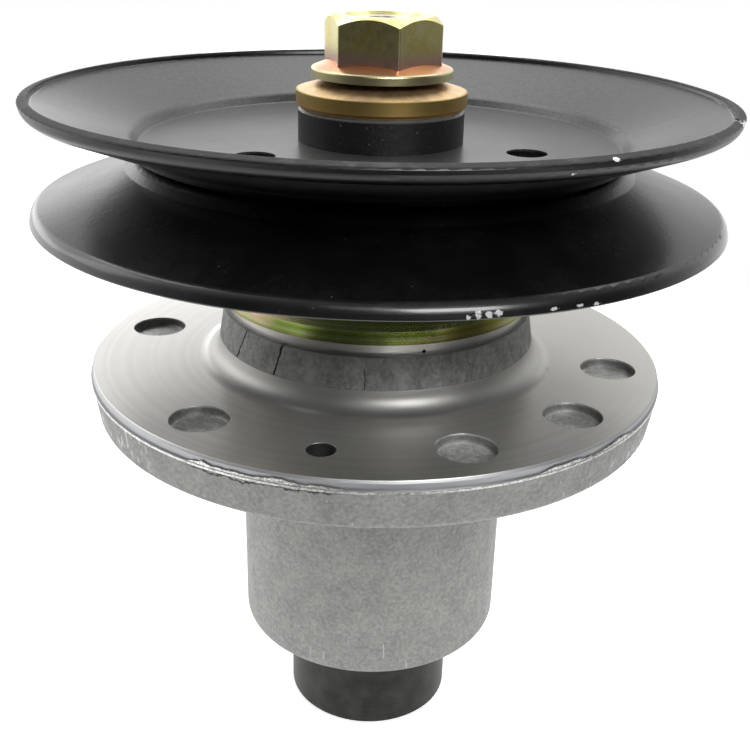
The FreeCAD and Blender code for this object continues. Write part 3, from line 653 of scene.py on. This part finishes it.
# Floor: a plain white sheet under the part, which keeps the part's shadow.
# It shows from above alone, so that the part can be looked at from below.
FLOOR_LEFT, FLOOR_RIGHT = -0.28, 0.22
FLOOR_FRONT, FLOOR_BACK = -0.20, 1.54
FLOOR_DROP = 0.0002
FLOOR_WHITE = (0.80, 0.80, 0.80)
FLOOR_GLOW = 0.70
UNLIT = (0.0, 0.0, 0.0)
STUDIO_WHITE = (1.0, 1.0, 1.0)


def camera_rays(tree):
    """1 for what the camera sees. The other kinds of ray are beside it."""
    return Tone(tree.nodes.new("ShaderNodeLightPath").outputs["Is Camera Ray"])


floor_mesh = bpy.data.meshes.new("floor")
shape = bmesh.new()
bmesh.ops.create_grid(shape, x_segments=1, y_segments=1, size=0.5)
bmesh.ops.scale(shape, verts=shape.verts, vec=(FLOOR_RIGHT - FLOOR_LEFT, FLOOR_BACK - FLOOR_FRONT, 1.0))
floor_middle = ((FLOOR_LEFT + FLOOR_RIGHT) / 2, (FLOOR_FRONT + FLOOR_BACK) / 2, -FLOOR_DROP)
bmesh.ops.translate(shape, verts=shape.verts, vec=floor_middle)
shape.to_mesh(floor_mesh)
shape.free()
floor = bpy.data.objects.new("floor", floor_mesh)
bpy.context.collection.objects.link(floor)
floor_finish = {"Base Color": (*FLOOR_WHITE, 1.0), "Roughness": 0.9, "Emission Strength": FLOOR_GLOW}
white, shader, place = finish("floor_white", floor_finish)
seen = camera_rays(white.node_tree)
mirrored = seen.beside("Is Glossy Ray") + seen.beside("Is Transmission Ray")
blend(seen + mirrored, UNLIT, STUDIO_WHITE).feed(shader, "Emission Color")
(1 - place.node("ShaderNodeNewGeometry").beside("Backfacing")).feed(shader, "Alpha")
floor_mesh.materials.append(white)


# Studio: white behind and beside the part and dim on the camera's side, so that bare metal mirrors
# something light and something dark. The camera itself sees plain white all round.
STUDIO_DIM = (0.03, 0.03, 0.03)
STUDIO_TURN = math.radians(15)
STUDIO_DEPTH = (0.75, -0.55)
world = bpy.data.worlds.new("studio")
bpy.context.scene.world = world
world.use_nodes = True
backdrop = world.node_tree.nodes["Background"]
backdrop.inputs["Strength"].default_value = 1.0
heading = Tone(world.node_tree.nodes.new("ShaderNodeTexCoord").outputs["Generated"])
sideways = heading.node("ShaderNodeSeparateXYZ", {}, {0: heading})
depth = sideways.beside("Y") * math.cos(STUDIO_TURN) - sideways * math.sin(STUDIO_TURN)
colour = blend(fade(depth, *STUDIO_DEPTH), STUDIO_WHITE, STUDIO_DIM)
blend(camera_rays(world.node_tree), colour, STUDIO_WHITE).feed(backdrop, "Color")

# Studio lights: a wide soft box above and behind the part, a low one at the horizon and a weak one on
# the left. Two small ones by the camera light the front. Each has its place, size and power.
MIDDLE = Vector((0.0, 0.0, 0.09))
LIGHTS = {
    "back_light": ((0.0, 1.10, 2.40), (4.0, 1.75), 44.0),
    "horizon_light": ((-0.94, 1.77, 0.45), (3.0, 0.6), 6.0),
    "left_light": ((-1.60, 0.28, 0.90), (0.8, 1.0), 2.5),
    "front_top_light": ((0.10, -0.62, 0.82), (0.60, 0.35), 0.5),
    "front_light": ((0.208, -0.468, 0.49), (0.28, 0.26), 2.2),
}
for name, (spot, size, power) in LIGHTS.items():
    lamp = bpy.data.lights.new(name, "AREA")
    lamp.shape = "RECTANGLE"
    lamp.size, lamp.size_y = size
    lamp.energy = power
    soft_box = bpy.data.objects.new(name, lamp)
    soft_box.location = spot
    soft_box.rotation_euler = (MIDDLE - Vector(spot)).to_track_quat("-Z", "Y").to_euler()
    bpy.context.collection.objects.link(soft_box)

# Camera: in front of the part, close to it and a little above the pulley,
# looking down with a slight lean.
CAMERA_PLACE = (0.0, -0.2456, 0.2002)
CAMERA_DOWN = math.radians(23.29)
CAMERA_LEAN = math.radians(1.38)
CAMERA_LENS = 50.67
SENSOR_WIDTH = 36.0
NEAR_LIMIT = 0.01
lens = bpy.data.cameras.new("camera")
lens.lens = CAMERA_LENS
lens.sensor_width = SENSOR_WIDTH
lens.clip_start = NEAR_LIMIT
camera = bpy.data.objects.new("camera", lens)
turned_down = Matrix.Rotation(math.pi / 2 - CAMERA_DOWN, 4, "X")
camera.matrix_world = Matrix.Translation(CAMERA_PLACE) @ turned_down @ Matrix.Rotation(CAMERA_LEAN, 4, "Z")
bpy.context.collection.objects.link(camera)
bpy.context.scene.camera = camera
bpy.context.scene.view_settings.view_transform = "Standard"
